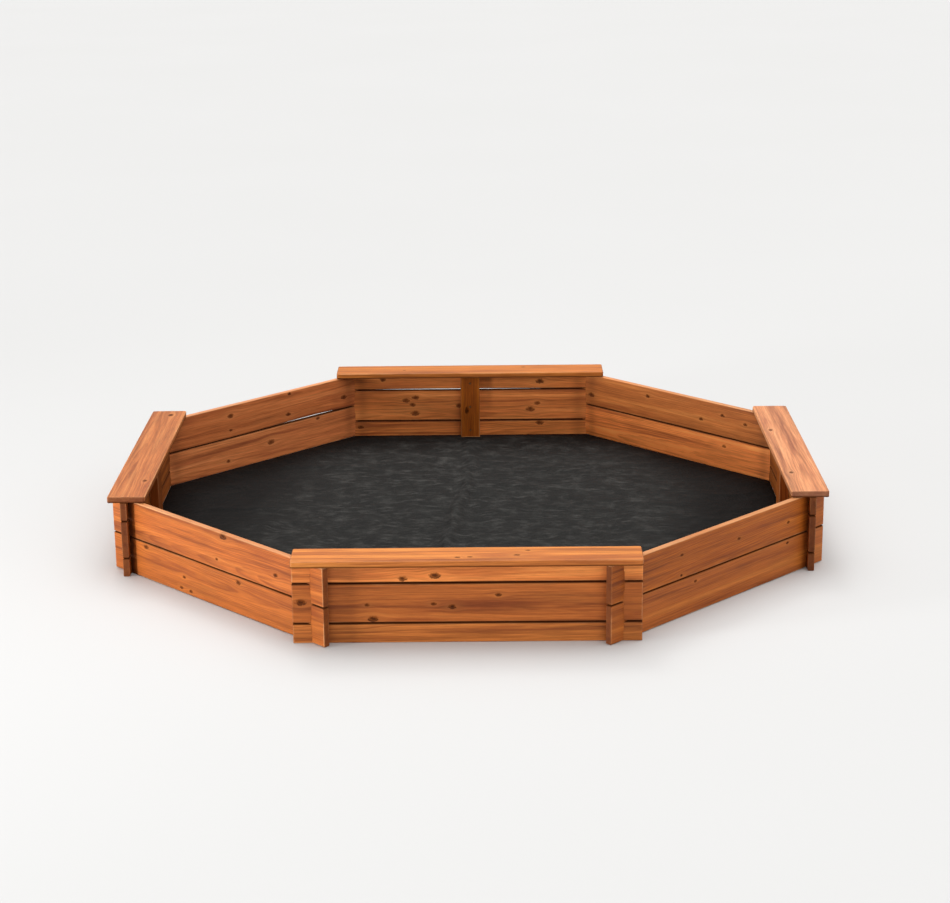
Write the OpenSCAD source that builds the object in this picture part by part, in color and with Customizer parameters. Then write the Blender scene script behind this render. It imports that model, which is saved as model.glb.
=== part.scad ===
// Eight-sided wooden sandbox. Notched boards interlock at the corners, four of the
// walls carry a seat, and a thin fabric liner covers the ground inside.

/* [Wall boards] */
// Length of a wall board, end to end
board_l = 915; // [800:5:1100]
// Height of a full wall board
board_w = 108; // [90:1:130]
// Thickness of a wall board
board_t = 18; // [15:1:22]
// Radius of the eased long edges of every board
edge_r = 3; // [1:0.5:5]
// Gap between one course of boards and the next
course_gap = 2; // [0.5:0.5:4]

/* [Corner joints] */
// How far a board runs on past the middle of a corner joint
end_run = 53; // [45:1:70]
// Free space on each side of a board inside a notch
notch_slack = 0.5; // [0.2:0.1:1]

/* [Seats] */
// Length of a seat board
seat_l = 915; // [800:5:1000]
// Width of a seat board
seat_w = 108; // [90:1:140]
// Thickness of a seat board
seat_t = 18; // [16:1:24]
// How far a seat is set in towards the pit from the middle of its wall
seat_inset = 9; // [0:1:15]
// Radius of a seat board's corners, seen from above
seat_corner_r = 7; // [5:1:20]

/* [Braces] */
// Width of a brace along its wall
brace_w = 66; // [60:1:90]
// Thickness of a brace
brace_t = 28; // [24:1:36]

/* [Ground liner] */
// Thickness of the liner
liner_t = 1.5; // [1:0.5:3]
// Gap between the liner's edge and the walls
liner_clear = 1; // [0.5:0.5:5]

/* [Screws] */
// Radius of a screw's shank
shank_r = 2; // [1.5:0.25:2.5]
// Radius of a screw's head
head_r = 3.8; // [3.6:0.1:4.5]
// How deep a screw bites into the board behind the brace or above it
screw_bite = 11; // [8:1:12]
// Tilt of a pocket screw from upright
pocket_tilt = 30; // [25:1:35]

/* [Hidden] */
$fn = 48;

// One course of boards, gap included, and the walls' height of two courses
course_h = board_w + course_gap;
wall_h = 2 * course_h;
half_board_w = (board_w - course_gap) / 2;

// Regular octagon through the middles of the corner joints
side_l = board_l - 2 * end_run;
apothem = side_l * (1 + sqrt(2)) / 2;

// Wall numbers count eighths of a turn from the front wall
SEAT_WALLS = [["front", 0], ["right", 2], ["back", 4], ["left", 6]];
DIAGONAL_WALLS = [["front_right", 1], ["back_right", 3], ["back_left", 5], ["front_left", 7]];

// Inner face of a wall and of its brace, measured inwards from the wall's middle
wall_face = board_t / 2;
brace_face = wall_face + brace_t;
brace_edge_r = 2;

// Countersunk brace screws, one in the middle of each board's height
head_h = 2.6;
head_sink = 0.4;
screw_clear = 0.1;
brace_screw_l = brace_t - head_sink + screw_bite;
brace_screw_heights = [half_board_w / 2, course_h, wall_h - half_board_w / 2];

// Pocket screws, measured along their axis from the top of the brace
pocket_offset = 12;
pocket_depth = 22;
pocket_r = head_r + 1;
pocket_head_h = 2.4;
pocket_screw_l = pocket_depth + screw_bite;

// Cross-shaped recess in a screw's head
recess_l = 4.2;
recess_w = 1;
recess_h = 1.4;

wall_colour = "#b4683a";
seat_colour = "#de9560";
brace_colour = "#7d4524";
liner_colour = "#383735";
screw_colour = "#8c7654";

// Puts a child, built around a wall's middle line with the pit towards +Y, on a wall
module on_wall(number) {
    rotate([0, 0, 45 * number])
        translate([0, -apothem, 0])
            children();
}

// Rectangle with rounded corners, centred
module rounded_rectangle(width, height, radius) {
    square([width - 2 * radius, height], center = true);
    square([width, height - 2 * radius], center = true);
    for (x = [-1, 1], y = [-1, 1])
        translate([x * (width / 2 - radius), y * (height / 2 - radius)])
            circle(r = radius);
}

// Board on edge, along X, with its four long edges eased
module eased_board(length, thickness, height, radius) {
    translate([-length / 2, 0, height / 2])
        rotate([90, 0, 90])
            linear_extrude(height = length)
                rounded_rectangle(thickness, height, radius);
}

// The slot that the next wall's board takes out of this one, at both ends
module corner_slots(bottom, top) {
    for (end = [-1, 1])
        translate([end * side_l / 2, 0, (bottom + top) / 2])
            rotate([0, 0, end * 45])
                cube([4 * board_t, board_t + 2 * notch_slack, top - bottom], center = true);
}

// Space that a countersunk screw needs, from its head along +Z
module countersunk_hole(length) {
    rotate_extrude()
        polygon([
            [0, -head_sink - 1],
            [head_r + screw_clear, -head_sink - 1],
            [head_r + screw_clear, 0],
            [shank_r + screw_clear, head_h],
            [shank_r + screw_clear, length + 1],
            [0, length + 1]
        ]);
}

// Turns a screw that points along +Z so that it points out of the pit, at a brace's face
module through_brace(height) {
    translate([0, brace_face - head_sink, height])
        rotate([90, 0, 0])
            children();
}

// Puts a screw that points along +Z on a pocket's axis, its origin at the head's seat
module in_pocket(side) {
    translate([side * pocket_offset, wall_face + brace_t / 2, wall_h])
        rotate([0, -side * pocket_tilt, 0])
            translate([0, 0, -pocket_depth])
                children();
}

// Cross recess cut into a head that faces down, its face at z = 0
module cross_recess() {
    cube([recess_l, recess_w, 2 * recess_h], center = true);
    cube([recess_w, recess_l, 2 * recess_h], center = true);
}

// Wall board whose ends keep only the stretch from neck_bottom to neck_top
module wall_board(bottom, top, neck_bottom, neck_top) {
    difference() {
        translate([0, 0, bottom])
            eased_board(board_l, board_t, top - bottom, edge_r);
        if (neck_top < top)
            corner_slots(neck_top, top + 1);
        if (neck_bottom > bottom)
            corner_slots(bottom - 1, neck_bottom);
    }
}

// Seat walls: half board, full board, half board, each held by one brace screw
module seat_wall_board(bottom, top, neck_bottom, neck_top) {
    difference() {
        wall_board(bottom, top, neck_bottom, neck_top);
        for (height = brace_screw_heights)
            through_brace(height)
                countersunk_hole(brace_screw_l);
    }
}

module lower_half_board() {
    color(wall_colour)
        seat_wall_board(0, half_board_w, 0, course_h / 4);
}

module middle_board() {
    color(wall_colour)
        seat_wall_board(
            course_h - board_w / 2, course_h + board_w / 2,
            course_h * 3 / 4, course_h * 5 / 4
        );
}

module upper_half_board() {
    color(wall_colour)
        seat_wall_board(wall_h - half_board_w, wall_h, wall_h - course_h / 4, wall_h);
}

// Diagonal walls: full boards, half a board out of step with the seat walls
module diagonal_board(course) {
    color(wall_colour)
        wall_board(
            course * course_h + course_gap / 2, (course + 1) * course_h - course_gap / 2,
            (course + 1 / 4) * course_h, (course + 3 / 4) * course_h
        );
}

// Seat board, flat on top of the wall
module seat() {
    color(seat_colour)
        difference() {
            translate([0, seat_inset, wall_h]) {
                intersection() {
                    eased_board(seat_l, seat_w, seat_t, edge_r);
                    translate([0, 0, -1])
                        linear_extrude(height = seat_t + 2)
                            rounded_rectangle(seat_l, seat_w, seat_corner_r);
                }
            }
            for (side = [-1, 1])
                in_pocket(side)
                    cylinder(r = shank_r + screw_clear, h = pocket_screw_l + 1);
        }
}

// Upright block that ties a wall's boards and the seat together
module brace() {
    color(brace_colour)
        difference() {
            translate([0, wall_face + brace_t / 2, liner_t])
                linear_extrude(height = wall_h - liner_t)
                    rounded_rectangle(brace_w, brace_t, brace_edge_r);
            for (height = brace_screw_heights)
                through_brace(height)
                    countersunk_hole(brace_screw_l);
            for (side = [-1, 1])
                in_pocket(side) {
                    cylinder(r = shank_r + screw_clear, h = pocket_screw_l);
                    rotate([180, 0, 0])
                        cylinder(r = pocket_r, h = brace_w);
                }
        }
}

// Thin sheet on the ground, up to the walls' inner faces
module ground_liner() {
    color(liner_colour)
        rotate([0, 0, 22.5])
            linear_extrude(height = liner_t)
                circle(r = (apothem - wall_face - liner_clear) / cos(22.5), $fn = 8);
}

module brace_screw() {
    difference() {
        rotate_extrude()
            polygon([
                [0, 0],
                [head_r, 0],
                [shank_r, head_h],
                [shank_r, brace_screw_l - 2 * shank_r],
                [0, brace_screw_l]
            ]);
        cross_recess();
    }
}

module brace_screws() {
    color(screw_colour)
        for (wall = SEAT_WALLS, height = brace_screw_heights)
            on_wall(wall[1])
                through_brace(height)
                    brace_screw();
}

module pocket_screw() {
    difference() {
        rotate_extrude()
            polygon([
                [0, -pocket_head_h],
                [head_r, -pocket_head_h],
                [head_r, 0],
                [shank_r, 0],
                [shank_r, pocket_screw_l - 2 * shank_r],
                [0, pocket_screw_l]
            ]);
        translate([0, 0, -pocket_head_h])
            cross_recess();
    }
}

module seat_screws() {
    color(screw_colour)
        for (wall = SEAT_WALLS, side = [-1, 1])
            on_wall(wall[1])
                in_pocket(side)
                    pocket_screw();
}

for (wall = SEAT_WALLS) {
    on_wall(wall[1]) lower_half_board();
    on_wall(wall[1]) middle_board();
    on_wall(wall[1]) upper_half_board();
    on_wall(wall[1]) seat();
    on_wall(wall[1]) brace();
}
for (wall = DIAGONAL_WALLS) {
    on_wall(wall[1]) diagonal_board(0);
    on_wall(wall[1]) diagonal_board(1);
}
ground_liner();
brace_screws();
seat_screws();
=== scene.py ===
import math
import random

import bmesh
import bpy
from mathutils import Matrix, Vector, noise


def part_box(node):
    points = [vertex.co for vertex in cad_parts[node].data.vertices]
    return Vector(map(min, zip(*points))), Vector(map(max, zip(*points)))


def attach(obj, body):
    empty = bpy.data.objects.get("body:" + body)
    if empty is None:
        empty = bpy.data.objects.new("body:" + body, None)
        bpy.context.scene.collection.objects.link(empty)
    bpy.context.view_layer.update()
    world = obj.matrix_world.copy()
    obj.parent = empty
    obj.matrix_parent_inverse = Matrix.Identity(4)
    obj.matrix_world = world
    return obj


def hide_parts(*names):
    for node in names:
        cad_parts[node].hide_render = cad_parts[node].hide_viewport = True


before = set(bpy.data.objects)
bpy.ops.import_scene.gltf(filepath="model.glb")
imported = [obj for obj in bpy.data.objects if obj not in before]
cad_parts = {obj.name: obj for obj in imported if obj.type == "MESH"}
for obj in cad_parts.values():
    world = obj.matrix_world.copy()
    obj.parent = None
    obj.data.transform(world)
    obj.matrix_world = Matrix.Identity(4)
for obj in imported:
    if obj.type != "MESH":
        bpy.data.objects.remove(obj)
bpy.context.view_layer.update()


# ---------------------------------------------------------------- sizes, from the frame

BOARD_LOW, BOARD_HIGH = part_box("front_middle_board")
BOARD_L = BOARD_HIGH.x - BOARD_LOW.x
BOARD_T = BOARD_HIGH.y - BOARD_LOW.y
APOTHEM = -(BOARD_LOW.y + BOARD_HIGH.y) / 2
HALF_SIDE = APOTHEM * (math.sqrt(2) - 1)
COURSE = (BOARD_LOW.z + BOARD_HIGH.z) / 2
WALL_TOP = 2 * COURSE
LINER_HALF_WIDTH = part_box("ground_liner")[1].x

# Rounded edges, and the cuts of the notches
LONG_EDGE_R = 0.003
SAWN_EDGE_R = 0.0012
SEAT_CORNER_R = 0.007
BRACE_EDGE_R = 0.002
CUT_EDGE = 0.0005
NOTCH_SLACK = 0.0005
CUT_PAST = 0.01
SHARP_ANGLE = math.radians(50)
ARC_STEPS = 4
# Longest stretch of a board's mesh along its length, and across it
MESH_STEP_ALONG = 0.018
MESH_STEP_ACROSS = 0.014

# Holes for the CAD's screws, with 0.1 mm of play, and the pockets for the seat's screws
SCREW_HEAD_R = 0.0039
SCREW_HEAD_H = 0.0026
SCREW_SHANK_R = 0.0021
SCREW_SINK = 0.0004
POCKET_OFFSET = 0.012
POCKET_DEPTH = 0.022
POCKET_R = 0.0048
POCKET_CUT_L = 0.06
POCKET_TILT = math.radians(30)
# Height of the lowest screw in a brace, in the middle of the bottom board
LOW_SCREW = COURSE * 0.241

# Wall numbers count eighths of a turn from the front wall, as in the CAD
SEAT_WALLS = {"front": 0, "right": 2, "back": 4, "left": 6}
DIAGONAL_WALLS = {"front_right": 1, "back_right": 3, "back_left": 5, "front_left": 7}


def wall_matrix(number):
    """From a wall's own frame, X along it and Y into the pit, to the row frame."""
    return Matrix.Rotation(math.radians(45 * number), 4, "Z") @ Matrix.Translation((0, -APOTHEM, 0))


# ---------------------------------------------------------------- camera

CAMERA_AT = Vector((0.049, -6.303, 2.100))
CAMERA_PITCH = math.radians(16.54)
CAMERA_YAW = math.radians(-0.27)
CAMERA_ROLL = math.radians(-0.57)
CAMERA_LENS_MM = 82.3


def make_camera():
    data = bpy.data.cameras.new("camera")
    data.sensor_width = 36
    data.lens = CAMERA_LENS_MM
    data.clip_end = 200
    camera = bpy.data.objects.new("camera", data)
    bpy.context.scene.collection.objects.link(camera)
    camera.matrix_world = (
        Matrix.Translation(CAMERA_AT)
        @ Matrix.Rotation(-CAMERA_YAW, 4, "Z")
        @ Matrix.Rotation(math.pi / 2 - CAMERA_PITCH, 4, "X")
        @ Matrix.Rotation(CAMERA_ROLL, 4, "Z")
    )
    bpy.context.scene.camera = camera


# ---------------------------------------------------------------- node trees

class Nodes:
    """Short calls that add nodes to a tree. An argument is a plain value or another node's socket."""

    def __init__(self, tree):
        self.tree = tree

    def put(self, socket, value):
        if isinstance(value, bpy.types.NodeSocket):
            self.tree.links.new(value, socket)
        else:
            socket.default_value = value

    def add(self, kind, inputs=None, **settings):
        node = self.tree.nodes.new(kind)
        for name, value in settings.items():
            setattr(node, name, value)
        for name, value in (inputs or {}).items():
            self.put(node.inputs[name], value)
        return node

    def math(self, operation, a, b=0.0):
        return self.add("ShaderNodeMath", {0: a, 1: b}, operation=operation).outputs[0]

    def vector(self, operation, a, b=(0, 0, 0), scale=1.0):
        node = self.add("ShaderNodeVectorMath", {0: a, 1: b, 3: scale}, operation=operation)
        return node.outputs["Value" if operation in ("LENGTH", "DOT_PRODUCT") else "Vector"]

    def split(self, value):
        node = self.add("ShaderNodeSeparateXYZ", {0: value})
        return node.outputs[0], node.outputs[1], node.outputs[2]

    def join(self, x, y, z):
        return self.add("ShaderNodeCombineXYZ", {0: x, 1: y, 2: z}).outputs[0]

    def noise(self, where, scale=1.0, detail=2.0, rough=0.5):
        """Smooth noise around 0, roughly from -0.5 to 0.5."""
        inputs = {"Vector": where, "Scale": scale, "Detail": detail, "Roughness": rough}
        return self.math("SUBTRACT", self.add("ShaderNodeTexNoise", inputs).outputs["Fac"], 0.5)

    def step(self, value, low, high, out_low=0.0, out_high=1.0):
        inputs = {0: value, 1: low, 2: high, 3: out_low, 4: out_high}
        node = self.add("ShaderNodeMapRange", inputs, interpolation_type="SMOOTHSTEP")
        return node.outputs[0]

    def mix(self, share, a, b, blend="MIX"):
        node = self.add("ShaderNodeMix", data_type="RGBA", blend_type=blend)
        for socket, value in zip((node.inputs[0], node.inputs[6], node.inputs[7]), (share, a, b)):
            self.put(socket, value)
        return node.outputs[2]


def new_group(name, inputs, outputs):
    """A node group; inputs and outputs are {socket name: kind}. Gives the tree, its Nodes, and both ends."""
    tree = bpy.data.node_groups.new(name, "ShaderNodeTree")
    for side, sockets in (("INPUT", inputs), ("OUTPUT", outputs)):
        for socket, kind in sockets.items():
            tree.interface.new_socket(name=socket, in_out=side, socket_type="NodeSocket" + kind)
    n = Nodes(tree)
    return tree, n, n.add("NodeGroupInput").outputs, n.add("NodeGroupOutput").inputs


def new_material(name, display):
    material = bpy.data.materials.new(name)
    material.use_nodes = True
    material.diffuse_color = (*display, 1)
    material.node_tree.nodes.clear()
    return material, Nodes(material.node_tree)


def finish_material(n, color, roughness, height=None, bump_depth=0.001, **values):
    inputs = {"Base Color": color, "Roughness": roughness}
    inputs.update({name.replace("_", " "): value for name, value in values.items()})
    if height is not None:
        bump = n.add("ShaderNodeBump", {"Height": height, "Distance": bump_depth, "Strength": 1.0})
        inputs["Normal"] = bump.outputs[0]
    shader = n.add("ShaderNodeBsdfPrincipled", inputs)
    out = n.add("ShaderNodeOutputMaterial")
    n.tree.links.new(shader.outputs[0], out.inputs["Surface"])


# ---------------------------------------------------------------- wood

def knot_group():
    """One knot through a board: bends the grain, and marks the knot, its dark rings and its surround."""
    tree, n, given, out = new_group(
        "knot",
        {"Grain": "Vector", "Bare": "Vector", "Core": "Float", "Dark": "Float", "Near": "Float",
         "Along": "Float", "Up": "Float", "Radius": "Float", "Lean": "Float", "Depth": "Float"},
        {"Grain": "Vector", "Core": "Float", "Dark": "Float", "Near": "Float"},
    )
    x, y, z = n.split(given["Bare"])
    radius = given["Radius"]
    along = n.math("SUBTRACT", n.math("SUBTRACT", x, given["Along"]), n.math("MULTIPLY", y, given["Lean"]))
    up = n.math("SUBTRACT", z, given["Up"])
    far_x = n.math("POWER", n.math("DIVIDE", along, n.math("MULTIPLY", radius, 4.5)), 2.0)
    far_z = n.math("POWER", n.math("DIVIDE", up, n.math("MULTIPLY", radius, 2.3)), 2.0)
    near = n.math("EXPONENT", n.math("MULTIPLY", n.math("ADD", far_x, far_z), -1.0))
    gx, gy, gz = n.split(given["Grain"])
    pulled = n.math("SUBTRACT", gz, n.math("MULTIPLY", n.math("MULTIPLY", up, near), 0.9))
    n.put(out["Grain"], n.join(gx, gy, pulled))
    n.put(out["Near"], n.math("MAXIMUM", given["Near"], near))
    wobble = n.math("MULTIPLY", n.noise(given["Bare"], 120.0, 3.0, 0.65), 1.5)
    spread = n.vector("LENGTH", n.join(n.math("MULTIPLY", along, 0.62), up, 0.0))
    ratio = n.math("ADD", n.math("DIVIDE", spread, radius), wobble)
    core = n.step(ratio, 1.35, 0.65)
    n.put(out["Core"], n.math("MAXIMUM", given["Core"], core))
    rim = n.step(n.math("ABSOLUTE", n.math("SUBTRACT", ratio, 0.9)), 0.35, 0.05)
    low_side = n.step(n.math("ADD", n.math("DIVIDE", up, radius), wobble), 0.35, -0.5)
    dark = n.math("MAXIMUM", n.math("MULTIPLY", rim, low_side), n.step(ratio, 0.75, 0.25))
    n.put(out["Dark"], n.math("MAXIMUM", given["Dark"], n.math("MULTIPLY", dark, given["Depth"])))
    return tree


# The long dark cloud in the stain of one board: its middle and how far it reaches, in metres
CLOUD_MIDDLE = (0.03, 0.0, -0.004)
CLOUD_REACH = (0.26, 1.0, 0.024)
# How far the painted shade where two walls cross lies from the middle of the crossing, and how far it spreads
NOOK_OFFSET = 0.030
NOOK_SPREAD = 0.020
NOOK_SHADE = 0.25
# How strongly latewood shows, and how dark the painted shade on a seat's underside and the low edges of its
# sides is
RING_CONTRAST = 0.55
UNDER_SEAT_SHADE = 0.9
# How pale the open top edge of a wall is: worn stain and painted highlight
TOP_WEAR_AND_HIGHLIGHT = 0.5
# Stands for "nothing crosses this board"
NO_CROSSING = 10.0


def softwood_group():
    """Stained softwood from grain coordinates: X along the board, Y through it, Z up it, in metres."""
    tree, n, given, out = new_group(
        "softwood",
        {"Grain": "Vector", "Bare": "Vector", "Half Size": "Vector", "Seed": "Float", "Core": "Float",
         "Dark": "Float", "Near": "Float", "Pith Y": "Float", "Pith Z": "Float", "Slope": "Float",
         "Ring Width": "Float", "Contrast": "Float", "Tone": "Color", "End": "Float",
         "Joint Low": "Float", "Joint High": "Float", "Crossing": "Float",
         "Top Wear": "Float", "Under": "Float", "Nook Left": "Float", "Nook Shade Right": "Float",
         "Cloud": "Vector", "Cloud Depth": "Float"},
        {"Color": "Color", "Roughness": "Float", "Gloss": "Float", "Height": "Float"},
    )
    seed = given["Seed"]
    shift = n.join(seed, n.math("MULTIPLY", seed, 0.37), n.math("MULTIPLY", seed, 1.71))
    grain = n.vector("ADD", given["Grain"], shift)
    x, y, z = n.split(given["Grain"])

    def stretched(along, across, detail=2.0, rough=0.5):
        return n.noise(n.vector("MULTIPLY", grain, (along, across, across)), 1.0, detail, rough)

    # growth rings, cut by the board's faces
    wander = n.math("MULTIPLY", stretched(1.3, 7.0), 0.035)
    ripple = n.math("MULTIPLY", stretched(8.0, 40.0), 0.003)
    off_z = n.math("ADD", n.math("SUBTRACT", z, given["Pith Z"]), n.math("ADD", wander, ripple))
    off_y = n.math("ADD", n.math("SUBTRACT", y, given["Pith Y"]), ripple)
    from_pith = n.vector("LENGTH", n.join(0.0, off_y, off_z))
    tapered = n.math("ADD", from_pith, n.math("MULTIPLY", x, given["Slope"]))
    year = n.join(n.math("MULTIPLY", seed, 3.3), n.math("MULTIPLY", tapered, 55.0), 0.0)
    years = n.noise(year, 1.0, 2.0, 0.6)
    uneven = n.math("ADD", tapered, n.math("MULTIPLY", years, 0.016))
    ring = n.math("FRACT", n.math("DIVIDE", uneven, given["Ring Width"]))
    late = n.math("MULTIPLY", n.step(ring, 0.30, 0.85), n.step(ring, 1.0, 0.90))
    late = n.math("MULTIPLY", late, n.step(stretched(2.0, 18.0, 1.0), -0.25, 0.25, 0.25, 1.0))

    streak = stretched(1.1, 42.0, 4.0, 0.62)
    blotch = stretched(2.6, 16.0, 3.0, 0.6)
    thread = stretched(5.0, 160.0, 3.0, 0.65)
    fibre = stretched(24.0, 700.0, 3.0, 0.6)
    pores = stretched(90.0, 2400.0, 1.0)

    earlywood = (0.590, 0.178, 0.036, 1)
    latewood = (0.260, 0.056, 0.010, 1)
    amber = (0.690, 0.250, 0.056, 1)
    umber = (0.280, 0.066, 0.015, 1)
    knot_brown = (0.170, 0.042, 0.007, 1)
    knot_dark = (0.034, 0.009, 0.002, 1)
    bare_edge_highlight = (0.680, 0.320, 0.135, 1)
    pale_top_highlight = (0.800, 0.410, 0.190, 1)
    end_wood = (0.150, 0.040, 0.010, 1)
    joint_shade = (0.075, 0.020, 0.006, 1)
    nook_shade_color = (0.080, 0.021, 0.006, 1)

    share = n.math("MULTIPLY", late, n.math("ADD", given["Contrast"], n.math("MULTIPLY", given["Near"], 0.3)))
    color = n.mix(share, earlywood, latewood)
    color = n.mix(n.step(streak, 0.01, 0.20, 0.0, 0.75), color, amber)
    color = n.mix(n.step(streak, -0.01, -0.22, 0.0, 0.85), color, umber)
    color = n.mix(n.step(blotch, 0.02, 0.25, 0.0, 0.75), color, umber)
    color = n.mix(n.step(blotch, -0.08, -0.3, 0.0, 0.5), color, amber)
    # one long dark cloud in the stain
    across = n.vector("DIVIDE", n.vector("SUBTRACT", given["Grain"], given["Cloud"]), CLOUD_REACH)
    far = n.vector("LENGTH", n.join(n.split(across)[0], 0.0, n.split(across)[2]))
    far = n.math("ADD", far, n.math("MULTIPLY", stretched(4.0, 45.0, 3.0), 1.3))
    color = n.mix(n.math("MULTIPLY", n.step(far, 1.1, 0.1), given["Cloud Depth"]), color, umber)
    shade = n.math("ADD", 1.0, n.math("MULTIPLY", fibre, 0.85))
    shade = n.math("ADD", shade, n.math("MULTIPLY", streak, 0.75))
    shade = n.math("ADD", shade, n.math("MULTIPLY", blotch, 0.7))
    shade = n.math("ADD", shade, n.math("MULTIPLY", thread, 0.8))
    color = n.mix(1.0, color, n.join(shade, shade, shade), "MULTIPLY")
    color = n.mix(n.math("MULTIPLY", given["Near"], 0.30), color, amber)
    color = n.mix(n.math("MULTIPLY", given["Core"], 0.75), color, knot_brown)
    color = n.mix(n.math("MULTIPLY", given["Dark"], 0.85), color, knot_dark)
    color = n.mix(n.math("MULTIPLY", given["End"], 0.75), color, end_wood)

    # where two faces meet, the stain is worn thin, and a highlight is painted: the second shortest distance
    # to the outside
    inside = n.vector("SUBTRACT", given["Half Size"], n.vector("ABSOLUTE", given["Bare"]))
    dx, dy, dz = n.split(inside)
    second = n.math("MAXIMUM", n.math("MINIMUM", dx, dy), n.math("MINIMUM", n.math("MAXIMUM", dx, dy), dz))
    ragged = n.math("MULTIPLY", stretched(28.0, 120.0, 3.0), 0.0045)
    wear = n.step(n.math("ADD", second, ragged), 0.0042, 0.0008)
    wear = n.math("MULTIPLY", wear, n.step(stretched(5.0, 20.0), -0.15, 0.25, 0.12, 0.75))
    wear = n.math("MULTIPLY", wear, n.math("SUBTRACT", 1.0, n.math("MULTIPLY", given["End"], 0.75)))
    # each board's tone: its own stain, and partly painted light and shade
    color = n.mix(1.0, color, given["Tone"], "MULTIPLY")
    color = n.mix(wear, color, bare_edge_highlight)

    # painted shade in the gap where another board lies against the top or bottom edge
    half_z = n.split(given["Half Size"])[2]
    bare_z = n.split(given["Bare"])[2]
    crack = n.math("MULTIPLY", stretched(9.0, 60.0), 0.0018)
    to_top = n.math("ADD", n.math("SUBTRACT", half_z, bare_z), crack)
    to_bottom = n.math("ADD", n.math("ADD", half_z, bare_z), crack)
    high = n.math("MULTIPLY", n.step(to_top, 0.0040, 0.0006), given["Joint High"])
    low = n.math("MULTIPLY", n.step(to_bottom, 0.0040, 0.0006), given["Joint Low"])
    # a pale open top edge: worn stain and painted highlight
    rubbed = n.math("MULTIPLY", n.step(to_top, 0.0032, 0.0010), given["Top Wear"])
    rubbed = n.math("MULTIPLY", rubbed, n.step(stretched(6.0, 30.0), -0.2, 0.2, 0.55, 1.0))
    color = n.mix(rubbed, color, pale_top_highlight)

    # painted shade: a seat's underside and the low edges of its sides are dark, and its outer side a little
    # darker
    half_y = n.split(given["Half Size"])[1]
    to_under = n.math("ADD", n.math("SUBTRACT", half_y, n.split(given["Bare"])[1]), crack)
    under = n.math("MULTIPLY", n.step(to_under, 0.0065, 0.0028), given["Under"])
    painted_shade = n.math("MAXIMUM", n.math("MAXIMUM", high, low), under)
    outer_side_shade = n.math("MULTIPLY", n.step(to_bottom, 0.0030, 0.0010), given["Under"])
    color = n.mix(n.math("MULTIPLY", outer_side_shade, 0.35), color, umber)

    # painted shade in the corner where two walls cross
    apart = n.math("SUBTRACT", n.math("ABSOLUTE", n.split(given["Bare"])[0]), given["Crossing"])
    apart = n.math("ADD", n.math("ADD", apart, NOOK_OFFSET), n.math("MULTIPLY", stretched(6.0, 40.0), 0.02))
    spread = n.math("POWER", n.math("DIVIDE", apart, NOOK_SPREAD), 2.0)
    nook = n.math("EXPONENT", n.math("MULTIPLY", spread, -1.0))
    depth = n.step(n.split(given["Bare"])[0], -0.01, 0.01, given["Nook Left"], given["Nook Shade Right"])
    color = n.mix(n.math("MULTIPLY", nook, depth), color, nook_shade_color)
    # painted shade in the gaps between boards and on a seat's underside
    color = n.mix(n.math("MULTIPLY", painted_shade, 0.9), color, joint_shade)
    n.put(out["Color"], color)

    rough = n.math("ADD", 0.46, n.math("MULTIPLY", fibre, 0.20))
    rough = n.math("ADD", rough, n.math("MULTIPLY", n.math("MAXIMUM", given["End"], wear), 0.2))
    rough = n.math("ADD", rough, n.math("MULTIPLY", painted_shade, 0.4))
    dull = n.math("MAXIMUM", painted_shade, n.math("MULTIPLY", given["Core"], 0.7))
    n.put(out["Gloss"], n.math("SUBTRACT", 0.20, n.math("MULTIPLY", dull, 0.18)))
    n.put(out["Roughness"], rough)
    height = n.math("ADD", n.math("MULTIPLY", late, 0.12), n.math("MULTIPLY", fibre, 0.24))
    height = n.math("ADD", height, n.math("MULTIPLY", pores, 0.10))
    height = n.math("SUBTRACT", height, n.math("MULTIPLY", given["Dark"], 0.3))
    n.put(out["Height"], height)
    return tree


KNOT = knot_group()
SOFTWOOD = softwood_group()


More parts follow.
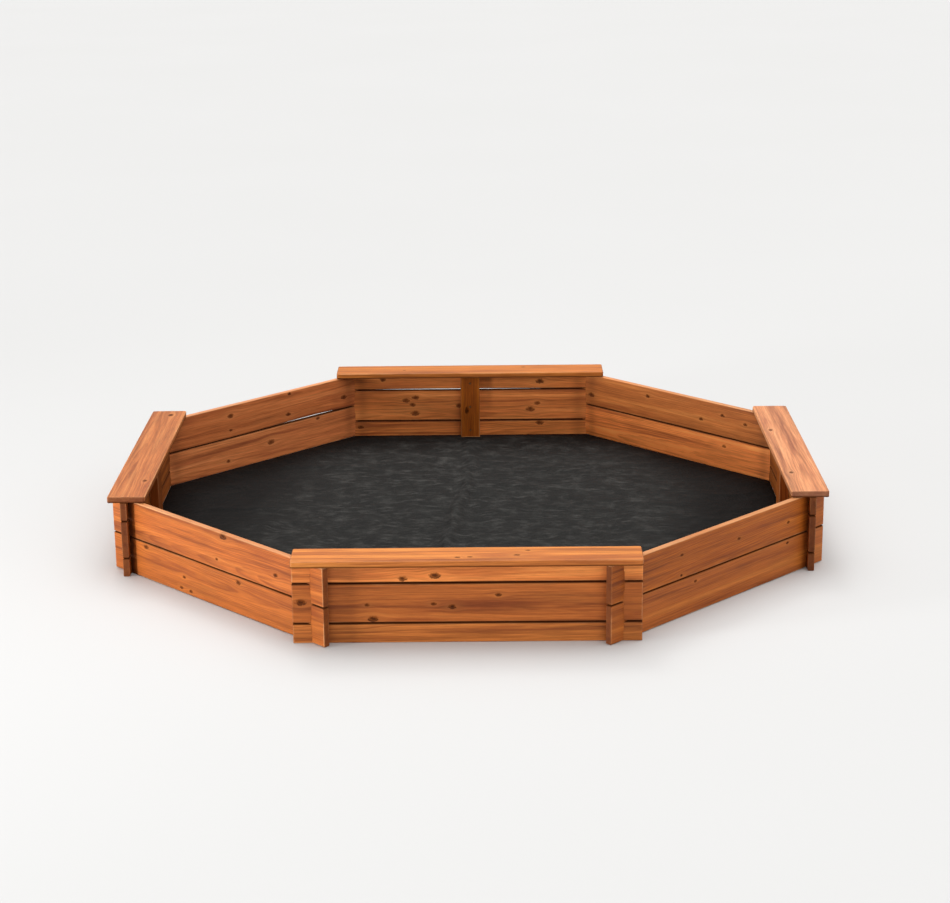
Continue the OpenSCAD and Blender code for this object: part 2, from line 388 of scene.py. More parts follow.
def wood_material(name, traits, size, knots, joints=(0.0, 0.0), crossing=NO_CROSSING,
                  top_wear=0.0, under=0.0):
    """A board's own material. size is (length, thickness, height); knots are (along, up, radius) in metres.
    joints say whether a board lies against the bottom edge and against the top edge, edges that get painted
    shade, and crossing is how far from the middle other boards cross it. top_wear is how pale its top edge
    is, worn stain and painted highlight, and under how dark the painted shade on a seat's underside and on
    the low edges of its sides is."""
    material, n = new_material(name, (0.6, 0.3, 0.14))
    chance = random.Random(traits["seed"])
    bare = n.add("ShaderNodeAttribute", attribute_name="grain").outputs["Vector"]
    marks = {"Grain": bare, "Core": 0.0, "Dark": 0.0, "Near": 0.0}
    for along, up, radius in knots:
        knot = n.add("ShaderNodeGroup", node_tree=KNOT)
        inputs = {**marks, "Bare": bare, "Along": along, "Up": up - size[2] / 2, "Radius": radius,
                  "Lean": chance.uniform(-0.4, 0.4), "Depth": chance.uniform(0.55, 1.0)}
        for socket, value in inputs.items():
            n.put(knot.inputs[socket], value)
        marks = {name: knot.outputs[name] for name in marks}
    inputs = {
        **marks, "Bare": bare, "Half Size": [s / 2 for s in size], "Seed": float(traits["seed"]),
        "Pith Y": chance.choice((-1, 1)) * chance.uniform(0.03, 0.07),
        "Pith Z": chance.uniform(-0.06, 0.06),
        "Slope": chance.uniform(-0.03, 0.03),
        "Ring Width": chance.uniform(0.0030, 0.0044),
        "Contrast": RING_CONTRAST,
        "Tone": (*traits["tone"], 1),
        "Joint Low": joints[0],
        "Joint High": joints[1],
        "Crossing": crossing,
        "Top Wear": top_wear,
        "Under": under,
        "Nook Left": traits.get("nook", NOOK_SHADE),
        "Nook Shade Right": NOOK_SHADE,
        "Cloud": CLOUD_MIDDLE,
        "Cloud Depth": traits.get("cloud", 0.0),
        "End": n.add("ShaderNodeAttribute", attribute_name="end_grain").outputs["Fac"],
    }
    wood = n.add("ShaderNodeGroup", node_tree=SOFTWOOD)
    for socket, value in inputs.items():
        n.put(wood.inputs[socket], value)
    finish_material(n, wood.outputs["Color"], wood.outputs["Roughness"], wood.outputs["Height"], 0.0006,
                    Specular_IOR_Level=wood.outputs["Gloss"])
    return material


# ---------------------------------------------------------------- boards

def eased_profile(half_t, half_h, radius, splits_t, splits_h):
    """Points (y, z) once around a rectangle with rounded corners."""
    points = []
    flat_t, flat_h = half_t - radius, half_h - radius
    corners = ((flat_t, flat_h, 0), (-flat_t, flat_h, 90), (-flat_t, -flat_h, 180), (flat_t, -flat_h, 270))
    for number, (cy, cz, start) in enumerate(corners):
        for k in range(ARC_STEPS + 1):
            angle = math.radians(start + 90 * k / ARC_STEPS)
            points.append((cy + radius * math.cos(angle), cz + radius * math.sin(angle)))
        next_y, next_z, _ = corners[(number + 1) % 4]
        last_y, last_z = points[-1]
        splits = splits_t if number % 2 == 0 else splits_h
        step_y, step_z = (next_y - cy) / splits, (next_z - cz) / splits
        points += [(last_y + step_y * k, last_z + step_z * k) for k in range(1, splits)]
    return points


def stations(length, round_r, clear):
    """Places along a board where its outline is drawn: close together at rounded ends, none inside clear."""
    half = length / 2
    inner = half - round_r
    ends = [inner + round_r * math.sin(math.radians(a)) for a in (0, 22.5, 45, 67.5, 90)]
    count = max(2, round(2 * inner / MESH_STEP_ALONG))
    middle = [-inner + 2 * inner * k / count for k in range(1, count)]
    middle = [x for x in middle if not any(low < abs(x) < high for low, high in clear)]
    edges = [side * x for low, high in clear for x in (low, high) for side in (-1, 1)]
    return sorted(set(middle + edges + ends + [-x for x in ends]))


def rounded_in(past, radius):
    """How far a rounded end has drawn in, past the start of its rounding."""
    return radius - math.sqrt(max(0.0, radius**2 - max(0.0, past) ** 2))


def board_mesh(length, thick, height, edge_r, corner_r=SAWN_EDGE_R, clear=()):
    """A planed board along X, its middle at the origin."""
    end_r = min(corner_r, edge_r)
    bm = bmesh.new()
    rings = []
    for x in stations(length, corner_r, clear):
        profile = eased_profile(
            thick / 2 - rounded_in(abs(x) - length / 2 + end_r, end_r),
            height / 2 - rounded_in(abs(x) - length / 2 + corner_r, corner_r),
            edge_r,
            max(2, round(thick / MESH_STEP_ACROSS)),
            max(2, round(height / MESH_STEP_ACROSS)),
        )
        rings.append([bm.verts.new((x, y, z)) for y, z in profile])
    for first, second in zip(rings, rings[1:]):
        for k in range(len(first)):
            bm.faces.new((first[k - 1], first[k], second[k], second[k - 1]))
    bm.faces.new(rings[0])
    bm.faces.new(reversed(rings[-1]))
    bmesh.ops.recalc_face_normals(bm, faces=bm.faces)
    return bm


def object_from(bm, name):
    mesh = bpy.data.meshes.new(name)
    bm.to_mesh(mesh)
    bm.free()
    piece = bpy.data.objects.new(name, mesh)
    bpy.context.scene.collection.objects.link(piece)
    return piece


def remove(piece):
    mesh = piece.data
    bpy.data.objects.remove(piece)
    bpy.data.meshes.remove(mesh)


def apply_modifiers(piece):
    """Makes the mesh that the modifiers show the piece's own."""
    bpy.context.view_layer.update()
    depsgraph = bpy.context.evaluated_depsgraph_get()
    result = bpy.data.meshes.new_from_object(piece.evaluated_get(depsgraph), depsgraph=depsgraph)
    piece.modifiers.clear()
    old = piece.data
    piece.data = result
    bpy.data.meshes.remove(old)


def cut(piece, cutter_bm):
    """Takes the cutter's solids out of the piece's mesh."""
    cutter = object_from(cutter_bm, "cutter")
    modifier = piece.modifiers.new("cut", "BOOLEAN")
    modifier.operation = "DIFFERENCE"
    modifier.solver = "EXACT"
    modifier.object = cutter
    apply_modifiers(piece)
    remove(cutter)


def slot_cutter(spans):
    """Slots that let the neighbouring boards cross at both ends; spans are (bottom, top) heights."""
    bm = bmesh.new()
    for bottom, top in spans:
        for end in (-1, 1):
            place = Matrix.Translation((end * HALF_SIDE, 0, (bottom + top) / 2))
            turn = Matrix.Rotation(math.radians(45 * end), 4, "Z")
            size = Matrix.Diagonal((4 * BOARD_T, BOARD_T + 2 * NOTCH_SLACK, top - bottom, 1))
            bmesh.ops.create_cube(bm, size=1, matrix=place @ turn @ size)
    return bm


def ease_cuts(bm):
    """Takes the sharpness off sawn arrises."""
    sharp = [e for e in bm.edges if len(e.link_faces) == 2 and e.calc_face_angle() > SHARP_ANGLE]
    bmesh.ops.bevel(bm, geom=sharp, offset=CUT_EDGE, segments=2, profile=0.5, affect="EDGES",
                    clamp_overlap=False)


def season(x, y, z, moves, half, height):
    """Moves a point the way a drying board moves: bow, crook and a little cup, none at the joints."""
    reach = max(0.0, 1 - (x / half) ** 2) ** 2
    up = z / height + 0.5
    lean = max(0.0, 1 + moves.get("lean", 0.0) * x / half) ** 3
    y += moves.get("bow", 0.0) * reach + moves.get("cup", 0.0) * (4 * (up - 0.5) ** 2 - 0.5)
    z += (moves.get("top", 0.0) * up + moves.get("bottom", 0.0) * (1 - up)) * reach * lean
    return x, y, z


def dress(piece, matrix, material, moves, half, height):
    """Writes the grain and end grain, seasons the board, and puts it in its place."""
    mesh = piece.data
    bm = bmesh.new()
    bm.from_mesh(mesh)
    ease_cuts(bm)
    grain = bm.verts.layers.float_vector.new("grain")
    end_grain = bm.faces.layers.float.new("end_grain")
    for face in bm.faces:
        face[end_grain] = 1.0 if abs(face.normal.x) > 0.6 else 0.0
    for vertex in bm.verts:
        vertex[grain] = vertex.co
        vertex.co = season(*vertex.co, moves, half, height)
    bm.transform(matrix)
    bm.to_mesh(mesh)
    bm.free()
    mesh.materials.clear()
    mesh.materials.append(material)
    mesh.polygons.foreach_set("use_smooth", [True] * len(mesh.polygons))
    mesh.set_sharp_from_angle(angle=SHARP_ANGLE)
    weighted = piece.modifiers.new("even_shading", "WEIGHTED_NORMAL")
    weighted.keep_sharp = True


def hand_over(piece, node):
    """Hangs the piece on the root body and hides the CAD part that it stands for."""
    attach(piece, "root")
    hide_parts(node)


def random_moves(seed):
    """How a board has dried, by chance: the words that season() reads, in metres."""
    chance = random.Random(seed * 7 + 1)
    return {
        "bow": chance.uniform(-0.0008, 0.0008),
        "cup": chance.uniform(-0.0003, 0.0003),
        "top": chance.uniform(-0.0005, 0.0002),
        "bottom": chance.uniform(-0.0002, 0.0005),
        "lean": chance.uniform(-0.3, 0.3),
    }


def knots_of(traits, half, height):
    """The board's knots in metres; a board that the photograph hides gets three at random."""
    if "knots" in traits:
        return [(along * half, up * height, radius / 1000) for along, up, radius in traits["knots"]]
    chance = random.Random(traits["seed"] * 13 + 5)
    return [
        (chance.uniform(-0.95, 0.95) * half, chance.uniform(0.1, 0.9) * height, chance.uniform(0.0025, 0.006))
        for _ in range(3)
    ]


# What is particular to each board. knots are (along, up, radius): along as a share of half the board's
# length, up as a share of its height, and the radius in millimetres.
# tone is partly each board's own stain and partly painted light and shade: most boards in shade inside the
# pit, and the top board beneath the front seat, are lightened, and most boards on the outside at the front
# are darkened.
BOARDS = {
    "front_lower_board": {"seed": 11, "tone": (0.96, 1, 1), "knots": []},
    "front_middle_board": {
        "seed": 12, "tone": (0.77, 0.70, 0.66), "cloud": 0.9,
        "knots": [(-0.54, 0.1, 7.7), (-0.57, 0.46, 4.2), (-0.2, 0.48, 4.2),
                  (-0.09, 0.4, 6), (0.18, 0.7, 4.8), (-0.95, 0.54, 8.3)],
    },
    "front_upper_board": {
        "seed": 13, "tone": (1.19, 1.17, 1.26),
        "knots": [(-0.37, 0.2, 6.5), (-0.18, 0.35, 8.3)],
    },
    # The two front left boards get stronger painted shade in the corner at their left end, which stands for
    # the shadow cast by the left wall's end.
    "front_left_upper_board": {
        "seed": 21, "nook": 1.0, "tone": (0.84, 0.72, 0.56),
        "knots": [(0.1, 0.93, 8.3), (0.04, 0.26, 3.6), (0.58, 0.4, 5.4)],
    },
    "front_left_lower_board": {
        "seed": 22, "nook": 1.0, "tone": (0.8, 0.7, 0.48),
        "knots": [(-0.66, 0.89, 6), (-0.3, 0.45, 4.2), (-0.33, 0.13, 4.8),
                  (-0.23, 0.12, 4.8), (0.24, 0.86, 6)],
    },
    "front_right_upper_board": {
        "seed": 31, "tone": (0.66, 0.55, 0.28),
        "knots": [(-0.39, 0.63, 3.9), (0.15, 0.5, 3.9), (0.63, 0.44, 3.9), (-0.39, 0.1, 3.4)],
    },
    "front_right_lower_board": {
        "seed": 32, "tone": (0.69, 0.6, 0.43), "knots": [(-0.26, 0.82, 3.9), (0.63, 0.9, 3.9)],
    },
    "back_left_upper_board": {
        "seed": 41, "tone": (1.03, 0.98, 1.4),
        "moves": {"bottom": 0.0014, "lean": -1.6},
        "knots": [(0.32, 0.69, 7.1), (-0.23, 0.93, 4.8), (-0.22, 0.26, 6),
                  (0.32, 0.24, 4.2), (-0.77, 0.37, 7.1)],
    },
    "back_left_lower_board": {
        "seed": 42, "tone": (1.17, 1.22, 1.9),
        "knots": [(-0.05, 0.55, 8.3), (-0.5, 0.92, 4.8), (0.35, 0.3, 4.8)],
    },
    "back_lower_board": {
        "seed": 51, "tone": (1.35, 1.38, 1.7), "knots": [(-0.52, 0.84, 7.1), (0.84, 0.64, 6)],
    },
    "back_middle_board": {
        "seed": 52, "tone": (1.38, 1.42, 1.8),
        "knots": [(0.48, 0.67, 7.1), (0.41, 0.76, 7.1), (0.43, 0.52, 6), (0.41, 0.24, 8.3),
                  (0.08, 0.48, 6.5), (-0.45, 0.35, 8.3), (-0.51, 0.55, 6)],
        "moves": {"top": -0.0003, "bottom": 0.0003, "lean": 0.2},
    },
    "back_upper_board": {
        "seed": 53, "tone": (1.35, 1.38, 1.7), "knots": [(-0.53, 0.5, 8.3), (0.66, 0.68, 6)],
        "moves": {"top": 0.0, "bottom": 0.0012, "lean": 0.35},
    },
    "back_right_upper_board": {
        "seed": 61, "tone": (0.96, 0.94, 1),
        "knots": [(0.26, 0.73, 5.4), (-0.25, 0.4, 4.8), (-0.44, 0.67, 4.8),
                  (-0.65, 0.55, 4.8), (0.82, 0.34, 7.1)],
    },
    "back_right_lower_board": {"seed": 62, "tone": (1.75, 1.72, 2), "knots": [(-0.47, 0.73, 4.8)]},
    "left_lower_board": {"seed": 71, "tone": (0.66, 0.6, 0.54)},
    "left_middle_board": {"seed": 72, "tone": (0.64, 0.58, 0.52)},
    "left_upper_board": {"seed": 73, "tone": (0.66, 0.6, 0.54)},
    "right_lower_board": {"seed": 81, "tone": (0.64, 0.58, 0.5)},
    "right_middle_board": {"seed": 82, "tone": (0.62, 0.56, 0.5)},
    "right_upper_board": {"seed": 83, "tone": (0.64, 0.58, 0.5)},
}
SEATS = {
    "front_seat": {"seed": 91, "tone": (1.05, 1.11, 1),
                   "knots": [(-0.06, 0.26, 4.8), (0.02, 0.29, 4.2), (0.29, 0.4, 5.4), (0.35, 0.73, 4.2)]},
    "right_seat": {"seed": 92, "tone": (1.08, 1.44, 3.1), "knots": [(-0.6, 0.78, 6), (0.38, 0.8, 6)]},
    "back_seat": {"seed": 93, "tone": (0.99, 1.02, 0.86), "knots": [(0.5, 0.6, 3.6), (-0.4, 0.3, 4.8)]},
    "left_seat": {"seed": 94, "tone": (0.8, 0.83, 1.15), "knots": [(0.66, 0.8, 6), (-0.89, 0.6, 8.3)]},
}
# How every seat has dried, in metres
SEAT_MOVES = {"cup": 0.0003, "top": 0.0005, "bottom": -0.0004}
BRACES = {
    "front_brace": {"seed": 101, "tone": (0.62, 0.5, 0.36)},
    "right_brace": {"seed": 102, "tone": (0.66, 0.54, 0.4)},
    "back_brace": {"seed": 103, "tone": (0.52, 0.4, 0.14), "knots": [(-0.17, 0.33, 6.5)]},
    # the left brace is darkened: painted shade for its side that faces the front
    "left_brace": {"seed": 104, "tone": (0.42, 0.32, 0.22)},
}


def wall_board(name, number, neck_bottom, neck_top, joint_above=True):
    """One notched board of a wall. Its ends keep only the stretch from neck_bottom to neck_top."""
    low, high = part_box(name)
    height = high.z - low.z
    middle = (low.z + high.z) / 2
    traits = BOARDS[name]
    beside_notch = BOARD_T * 1.4
    clear = [(HALF_SIDE - beside_notch, HALF_SIDE + beside_notch)]
    piece = object_from(board_mesh(BOARD_L, BOARD_T, height, LONG_EDGE_R, clear=clear), "wood_" + name)
    spans = []
    if neck_top < high.z:
        spans.append((neck_top - middle, height / 2 + CUT_PAST))
    if neck_bottom > low.z:
        spans.append((-height / 2 - CUT_PAST, neck_bottom - middle))
    cut(piece, slot_cutter(spans))
    size = (BOARD_L, BOARD_T, height)
    joints = (float(low.z > CUT_EDGE * 3), float(joint_above))
    knots = knots_of(traits, BOARD_L / 2, height)
    top_wear = 0.0 if joint_above else TOP_WEAR_AND_HIGHLIGHT
    material = wood_material("wood_" + name, traits, size, knots, joints, HALF_SIDE, top_wear)
    moves = random_moves(traits["seed"])
    moves.update(traits.get("moves", {}))
    if low.z < SAWN_EDGE_R:
        moves.update(bow=0.0, bottom=0.0)
    matrix = wall_matrix(number) @ Matrix.Translation((0, 0, middle))
    dress(piece, matrix, material, moves, HALF_SIDE, height)
    hand_over(piece, name)


def seat(name, number):
    """A seat board: built on edge like a wall board, then laid flat, its top edge towards the pit."""
    low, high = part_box(name)
    thick = high.z - low.z
    width, length = sorted((high.x - low.x, high.y - low.y))
    middle = wall_matrix(number).inverted() @ ((low + high) / 2)
    traits = SEATS[name]
    piece = object_from(board_mesh(length, thick, width, LONG_EDGE_R, SEAT_CORNER_R), "wood_" + name)
    size = (length, thick, width)
    knots = knots_of(traits, length / 2, width)
    material = wood_material("wood_" + name, traits, size, knots, under=UNDER_SEAT_SHADE)
    laid = wall_matrix(number) @ Matrix.Translation(middle) @ Matrix.Rotation(-math.pi / 2, 4, "X")
    dress(piece, laid, material, SEAT_MOVES, length / 2, width)
    hand_over(piece, name)


def brace_holes(face):
    """Countersunk holes for the screws into the boards, and pockets for the screws into the seat.
    In the wall's frame; face is the brace's inner face."""
    bm = bmesh.new()
    thick = face - BOARD_T / 2
    facing_out = Matrix.Rotation(math.pi / 2, 4, "X")
    for height in (LOW_SCREW, COURSE, WALL_TOP - LOW_SCREW):
        cone = Matrix.Translation((0, face - SCREW_SINK - SCREW_HEAD_H / 2, height)) @ facing_out
        bmesh.ops.create_cone(bm, cap_ends=True, segments=24, radius1=SCREW_HEAD_R, radius2=SCREW_SHANK_R,
                              depth=SCREW_HEAD_H, matrix=cone)
        sink = Matrix.Translation((0, face, height)) @ facing_out
        bmesh.ops.create_cone(bm, cap_ends=True, segments=24, radius1=SCREW_HEAD_R, radius2=SCREW_HEAD_R,
                              depth=2 * SCREW_SINK, matrix=sink)
    for side in (-1, 1):
        top = Matrix.Translation((side * POCKET_OFFSET, BOARD_T / 2 + thick / 2, WALL_TOP))
        turn = Matrix.Rotation(-side * POCKET_TILT, 4, "Y")
        pocket = top @ turn @ Matrix.Translation((0, 0, -POCKET_DEPTH - POCKET_CUT_L / 2))
        bmesh.ops.create_cone(bm, cap_ends=True, segments=24, radius1=POCKET_R, radius2=POCKET_R,
                              depth=POCKET_CUT_L, matrix=pocket)
    return bm


def brace(name, number):
    """An upright block behind a wall: built along X, then stood up."""
    into_wall = wall_matrix(number).inverted()
    corners = [into_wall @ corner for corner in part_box(name)]
    low = Vector(map(min, *corners))
    high = Vector(map(max, *corners))
    size = (high.z - low.z, high.y - low.y, high.x - low.x)
    middle = (low + high) / 2
    stand = Matrix.Translation(middle) @ Matrix.Rotation(-math.pi / 2, 4, "Y")
    traits = BRACES[name]
    piece = object_from(board_mesh(*size, BRACE_EDGE_R, SAWN_EDGE_R), "wood_" + name)
    holes = brace_holes(high.y)
    holes.transform(stand.inverted())
    cut(piece, holes)
    material = wood_material("wood_" + name, traits, size, knots_of(traits, size[0] / 2, size[2]))
    dress(piece, wall_matrix(number) @ stand, material, {}, size[0] / 2, size[2])
    hand_over(piece, name)


def make_wood():
    quarter = COURSE / 4
    for wall, number in SEAT_WALLS.items():
        wall_board(wall + "_lower_board", number, 0.0, quarter)
        wall_board(wall + "_middle_board", number, 3 * quarter, 5 * quarter)
        wall_board(wall + "_upper_board", number, 7 * quarter, WALL_TOP)
        seat(wall + "_seat", number)
        brace(wall + "_brace", number)
    for wall, number in DIAGONAL_WALLS.items():
        wall_board(wall + "_lower_board", number, quarter, 3 * quarter)
        wall_board(wall + "_upper_board", number, 5 * quarter, 7 * quarter, joint_above=False)


# ---------------------------------------------------------------- screws

def screw_material():
    """Bronze-coloured zinc, dulled and a little blotchy."""
    material, n = new_material("screw_zinc", (0.25, 0.17, 0.08))
    where = n.add("ShaderNodeNewGeometry").outputs["Position"]
    blotch = n.noise(where, 600.0, 3.0, 0.6)
    tooling = n.noise(n.vector("MULTIPLY", where, (900.0, 900.0, 3500.0)), 1.0, 2.0)
    bronze, tarnish = (0.30, 0.17, 0.07, 1), (0.10, 0.055, 0.03, 1)
    color = n.mix(n.step(blotch, -0.15, 0.2), bronze, tarnish)
    rough = n.math("ADD", 0.42, n.math("MULTIPLY", blotch, 0.3))
    finish_material(n, color, rough, tooling, 0.0001, Metallic=0.9)
    return material


def make_screws():
    metal = screw_material()
    for name in ("brace_screws", "seat_screws"):
        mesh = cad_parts[name].data
        mesh.materials.clear()
        mesh.materials.append(metal)


# ---------------------------------------------------------------- ground liner

# The simulated sheet's mesh, its thickness, its height above the ground, how much larger than its outline
# it is cut, and how far its edge is pushed out so that it meets the walls
LINER_CELL = 0.020
LINER_THICK = 0.0010
LINER_GAP = 0.0002
LINER_GROWTH = 0.008
LINER_REACH = 0.0008
# How far from a wall the sheet is still drawn down by it
LINER_HELD_REACH = 0.06
SETTLE_FRAMES = 45
SIDES = [Vector((math.cos(math.radians(a)), math.sin(math.radians(a)), 0)) for a in range(0, 360, 45)]

# The middle crease left by folding: through these points, in metres
FOLD_PATH = [(0.0, 1.0), (0.0, 0.55), (-0.035, 0.1), (-0.075, -0.35), (-0.085, -1.0)]
FOLD_CREST = 0.014
FOLD_HALF_WIDTH = 0.050


def beside_fold(x, y):
    """Distance across to the middle crease."""
    for (x1, y1), (x2, y2) in zip(FOLD_PATH, FOLD_PATH[1:]):
        if y >= y2:
            break
    on_path = x1 + (x2 - x1) * (y - y1) / (y2 - y1)
    return abs(x - on_path + 0.012 * noise.noise(Vector((5.0, y * 5, 0.0))))


def unpacked_height(x, y):
    """How high the unpacked sheet stands before it settles: its crease and the slack beside it."""
    fold = FOLD_CREST * max(0.0, 1 - beside_fold(x, y) / FOLD_HALF_WIDTH)
    slack = noise.fractal(Vector((x * 3.4 + 7, y * 3.4, 1.3)), 0.9, 2.1, 4)
    return fold + 0.004 * (slack + 0.9)


def ridge(x, y, scale, seed):
    """Sharp winding crests between smooth hollows, from 0 to 1."""
    bend = noise.noise(Vector((x * scale * 0.4, y * scale * 0.4, seed + 9)))
    here = Vector((x * scale + bend, y * scale * 0.8 - bend, seed))
    return (1 - min(1.0, 2.2 * abs(noise.noise(here)))) ** 3


def crinkle(x, y):
    """Small creases of handled cloth, too fine for the simulation's mesh."""
    patch = 0.5 + noise.noise(Vector((x * 2.1, y * 2.1, 20)))
    large = 0.0026 * ridge(x, y, 7.0, 1) + 0.0020 * ridge(x, y, 15.0, 2)
    return max(0.0, patch) * large + 0.0012 * ridge(x, y, 30.0, 3)


def edge_distance(x, y):
    """How far inside the sheet's edge a point lies."""
    return LINER_HALF_WIDTH - max(side.x * x + side.y * y for side in SIDES)


def under_brace(x, y):
    """Whether a brace, or the wall just beside it, holds the sheet down here."""
    beside = 0.045
    deep = APOTHEM - 0.09
    return (abs(x) < beside and abs(y) > deep) or (abs(y) < beside and abs(x) > deep)


def flat_octagon():
    """The sheet before it is laid: a square grid with its corners cut off."""
    half = LINER_HALF_WIDTH
    cells = round(2 * half / LINER_CELL)
    bm = bmesh.new()
    bmesh.ops.create_grid(bm, x_segments=cells, y_segments=cells, size=half)
    for side in SIDES[1::2]:
        everything = bm.verts[:] + bm.edges[:] + bm.faces[:]
        bmesh.ops.bisect_plane(bm, geom=everything, plane_co=side * half, plane_no=side, clear_outer=True)
    return bm


def settle(piece):
    """Lets the unpacked sheet sink on to the ground, held where the walls and braces hold it."""
    bpy.ops.mesh.primitive_plane_add(size=4, location=(0, 0, 0))
    ground = bpy.context.active_object
    ground.modifiers.new("ground", "COLLISION")
    ground.collision.thickness_outer = 0.001
    modifier = piece.modifiers.new("settle", "CLOTH")
    cloth = modifier.settings
    cloth.quality = 5
    cloth.mass = 0.15
    cloth.tension_stiffness = 30
    cloth.compression_stiffness = 30
    cloth.shear_stiffness = 12
    cloth.bending_stiffness = 0.8
    cloth.air_damping = 3
    cloth.shrink_min = -LINER_GROWTH
    cloth.vertex_group_mass = "held"
    modifier.collision_settings.distance_min = 0.001
    modifier.point_cache.frame_start = 1
    modifier.point_cache.frame_end = SETTLE_FRAMES
    scene = bpy.context.scene
    for moment in range(1, SETTLE_FRAMES + 1):
        scene.frame_set(moment)
    apply_modifiers(piece)
    scene.frame_set(1)
    remove(ground)


def liner_material():
    """Matt black non-woven cloth, greyed by dust towards the middle and on its creases. Its black towards the
    walls is painted shade, and the light marks on its creases are partly painted sheen.
    """
    material, n = new_material("liner_cloth", (0.03, 0.03, 0.03))
    flat = n.add("ShaderNodeAttribute", attribute_name="flat").outputs["Vector"]
    x, y, _ = n.split(flat)
    cloud = n.noise(flat, 2.2, 4.0, 0.6)
    mottle = n.noise(flat, 16.0, 5.0, 0.65)
    fibres = n.noise(flat, 900.0, 2.0, 0.6)
    swirl = n.add("ShaderNodeTexNoise", {"Vector": flat, "Scale": 3.0, "Detail": 2.0}).outputs["Color"]
    bent = n.vector("ADD", flat, n.vector("SCALE", swirl, scale=0.22))

    def creases(turn, along, across, low, high):
        """Short light marks, all roughly one way, of dust and partly painted sheen; along and across are how
        many fit in a metre.
        """
        inputs = {"Vector": bent, "Rotation": (0, 0, turn), "Scale": (along, across, 1)}
        laid = n.add("ShaderNodeMapping", inputs).outputs["Vector"]
        return n.step(n.noise(laid, 1.0, 4.0, 0.65), low, high)

    black = (0.0030, 0.0028, 0.0025, 1)
    grey = (0.0125, 0.0123, 0.0115, 1)
    dust = (0.080, 0.078, 0.073, 1)
    from_middle = n.vector("LENGTH", n.join(n.math("SUBTRACT", x, 0.03), n.math("MULTIPLY", y, 0.65), 0.0))
    color = n.mix(n.step(mottle, -0.05, 0.30, 0.0, 0.45), grey, dust)
    color = n.mix(n.step(mottle, -0.05, -0.30, 0.0, 0.5), color, black)
    # light marks on the creases: dust, and partly painted sheen
    dust_and_sheen_marks = n.math("MAXIMUM", creases(0.4, 10.0, 30.0, 0.06, 0.24), creases(-0.8, 18.0, 60.0, 0.04, 0.24))
    dust_and_sheen_marks = n.math("MAXIMUM", dust_and_sheen_marks, creases(1.4, 15.0, 40.0, 0.06, 0.24))
    color = n.mix(n.math("MULTIPLY", dust_and_sheen_marks, 0.50), color, dust)
    beside = n.math("ABSOLUTE", n.math("ADD", n.math("ADD", x, 0.04), n.math("MULTIPLY", cloud, 0.08)))
    streak = n.math("MULTIPLY", n.step(beside, 0.05, 0.0), n.step(mottle, -0.2, 0.25))
    color = n.mix(n.math("MULTIPLY", streak, 0.20), color, dust)
    # dust in the middle, and painted shade that makes it black towards the walls
    dust_and_wall_shade = n.step(n.math("ADD", from_middle, n.math("MULTIPLY", cloud, 0.3)), 0.78, 0.52)
    color = n.mix(dust_and_wall_shade, black, color)
    speck = n.math("ADD", 1.0, n.math("MULTIPLY", fibres, 0.5))
    color = n.mix(1.0, color, n.join(speck, speck, speck), "MULTIPLY")
    rough = n.math("ADD", 0.8, n.math("MULTIPLY", mottle, 0.2))
    puckers = n.noise(bent, 45.0, 4.0, 0.6)
    height = n.math("ADD", n.math("MULTIPLY", fibres, 0.4), n.math("MULTIPLY", puckers, 3.6))
    height = n.math("ADD", height, n.math("MULTIPLY", dust_and_sheen_marks, 0.8))
    finish_material(n, color, rough, height, 0.0018, Specular_IOR_Level=0.12)
    return material


def free_share(x, y):
    """0 where walls and braces hold the sheet down, 1 where it lies free."""
    return 0.0 if under_brace(x, y) else min(1.0, max(0.0, edge_distance(x, y)) / LINER_HELD_REACH)


def make_liner():
    bm = flat_octagon()
    flat = bm.verts.layers.float_vector.new("flat")
    bm.verts.index_update()
    for vertex in bm.verts:
        x, y, _ = vertex.co
        vertex[flat] = vertex.co
        vertex.co.z = LINER_GAP + unpacked_height(x, y) * free_share(x, y)
    held = [v.index for v in bm.verts if free_share(v.co.x, v.co.y) < 0.01]
    piece = object_from(bm, "cloth_ground_liner")
    group = piece.vertex_groups.new(name="held")
    group.add(held, 1.0, "REPLACE")
    settle(piece)
    piece.vertex_groups.clear()
    finer = piece.modifiers.new("finer", "SUBSURF")
    finer.levels = finer.render_levels = 1
    finer.boundary_smooth = "PRESERVE_CORNERS"
    apply_modifiers(piece)
    for vertex in piece.data.vertices:
        x, y, z = vertex.co
        vertex.co.z = max(z, LINER_GAP) + crinkle(x, y) * free_share(x, y)
        if edge_distance(x, y) < LINER_CELL / 8:
            vertex.co.xy *= 1 + LINER_REACH / LINER_HALF_WIDTH
    thick = piece.modifiers.new("thick", "SOLIDIFY")
    thick.thickness = LINER_THICK
    thick.offset = 1.0
    piece.data.polygons.foreach_set("use_smooth", [True] * len(piece.data.polygons))
    piece.data.materials.clear()
    piece.data.materials.append(liner_material())
    hand_over(piece, "ground_liner")


# ---------------------------------------------------------------- studio

FLOOR_WIDTH = 400
FLOOR_HEIGHT = -0.0002


def make_floor():
    bpy.ops.mesh.primitive_plane_add(size=FLOOR_WIDTH, location=(0, 0, FLOOR_HEIGHT))
    floor = bpy.context.active_object
    floor.name = "studio_floor"
    material, n = new_material("studio_floor", (0.85, 0.85, 0.85))
    where = n.add("ShaderNodeNewGeometry").outputs["Position"]
    cloud = n.step(n.noise(where, 0.6, 2.0), -0.3, 0.3)
    color = n.mix(cloud, (0.598, 0.598, 0.596, 1), (0.604, 0.604, 0.603, 1))
    finish_material(n, color, 0.95, Specular_IOR_Level=0.0)
    floor.data.materials.append(material)


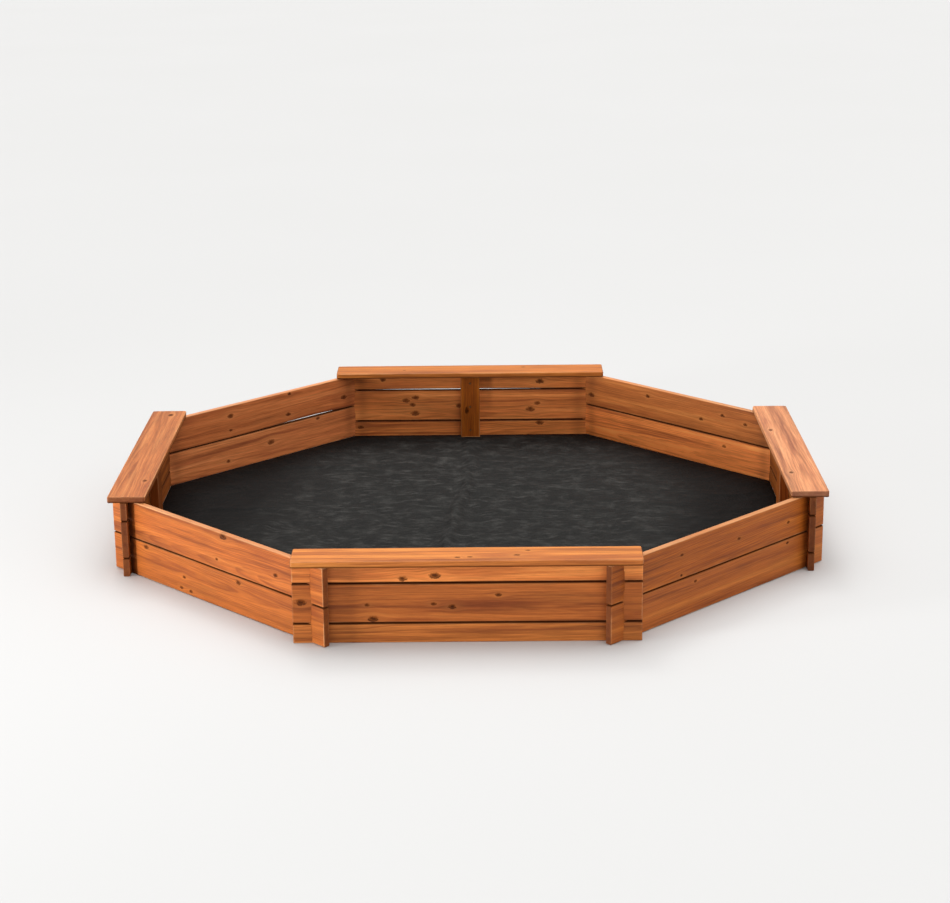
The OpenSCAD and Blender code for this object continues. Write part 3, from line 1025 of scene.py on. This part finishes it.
# Soft patches of the sky: the direction, how narrow, and how bright
SKY_LOBES = (
    ((-0.03, 0.22, 1.0), 6.0, 3.6),
    ((0.4, -1.0, 0.4), 4.0, 0.70),
    ((0.9, -0.5, 0.35), 3.0, 0.6),
    ((0.0, 1.0, 0.5), 3.0, 0.2),
)
SKY_EVEN = 0.06
SKY_STRENGTH = 1.17
# The wide lamp behind
REAR_LAMP_STRENGTH = 0.35
REAR_LAMP_OFFSET = Vector((-0.2, 0.75, 1.0))
REAR_LAMP_WIDTH = math.radians(14)
# The low soft box: the corner that it lights, and where it stands from there
SIDE_LAMP_WATTS = 35
SIDE_LAMP_TARGET = Vector((-0.62, -0.62, 0.12))
SIDE_LAMP_OFFSET = Vector((-5.48, -2.44, 0.60))
SIDE_LAMP_SIZE = (1.2, 0.9)
SIDE_LAMP_SPREAD = math.radians(60)


def make_light():
    """A soft sky, brightest overhead, a weak wide lamp behind, and a low soft box in front on the left."""
    world = bpy.data.worlds.new("studio")
    bpy.context.scene.world = world
    world.use_nodes = True
    world.node_tree.nodes.clear()
    n = Nodes(world.node_tree)
    way = n.add("ShaderNodeTexCoord").outputs["Generated"]

    def lobe(direction, power, strength):
        toward = n.vector("DOT_PRODUCT", way, Vector(direction).normalized())
        return n.math("MULTIPLY", n.math("POWER", n.math("MAXIMUM", toward, 0.0), power), strength)

    strength = lobe(*SKY_LOBES[0])
    for sky_lobe in SKY_LOBES[1:]:
        strength = n.math("ADD", strength, lobe(*sky_lobe))
    strength = n.math("MULTIPLY", n.math("ADD", strength, SKY_EVEN), SKY_STRENGTH)
    light = n.add("ShaderNodeBackground", {"Color": (1.0, 0.995, 0.985, 1), "Strength": strength})
    out = n.add("ShaderNodeOutputWorld")
    n.tree.links.new(light.outputs[0], out.inputs["Surface"])

    rear = add_lamp("rear_lamp", "SUN", REAR_LAMP_STRENGTH, REAR_LAMP_OFFSET)
    rear.angle = REAR_LAMP_WIDTH
    side = add_lamp("side_lamp", "AREA", SIDE_LAMP_WATTS, SIDE_LAMP_OFFSET, SIDE_LAMP_TARGET)
    side.shape = "RECTANGLE"
    side.size, side.size_y = SIDE_LAMP_SIZE
    side.spread = SIDE_LAMP_SPREAD


def add_lamp(name, kind, energy, offset, target=Vector((0, 0, 0))):
    """A lamp that shines from target + offset towards target. The camera doesn't see it."""
    lamp = bpy.data.lights.new(name, kind)
    lamp.energy = energy
    carrier = bpy.data.objects.new(name, lamp)
    bpy.context.scene.collection.objects.link(carrier)
    carrier.location = target + offset
    carrier.rotation_euler = offset.to_track_quat("Z", "Y").to_euler()
    carrier.visible_camera = False
    return lamp


bpy.context.scene.view_settings.view_transform = "Standard"
make_camera()
make_floor()
make_light()
make_wood()
make_screws()
make_liner()
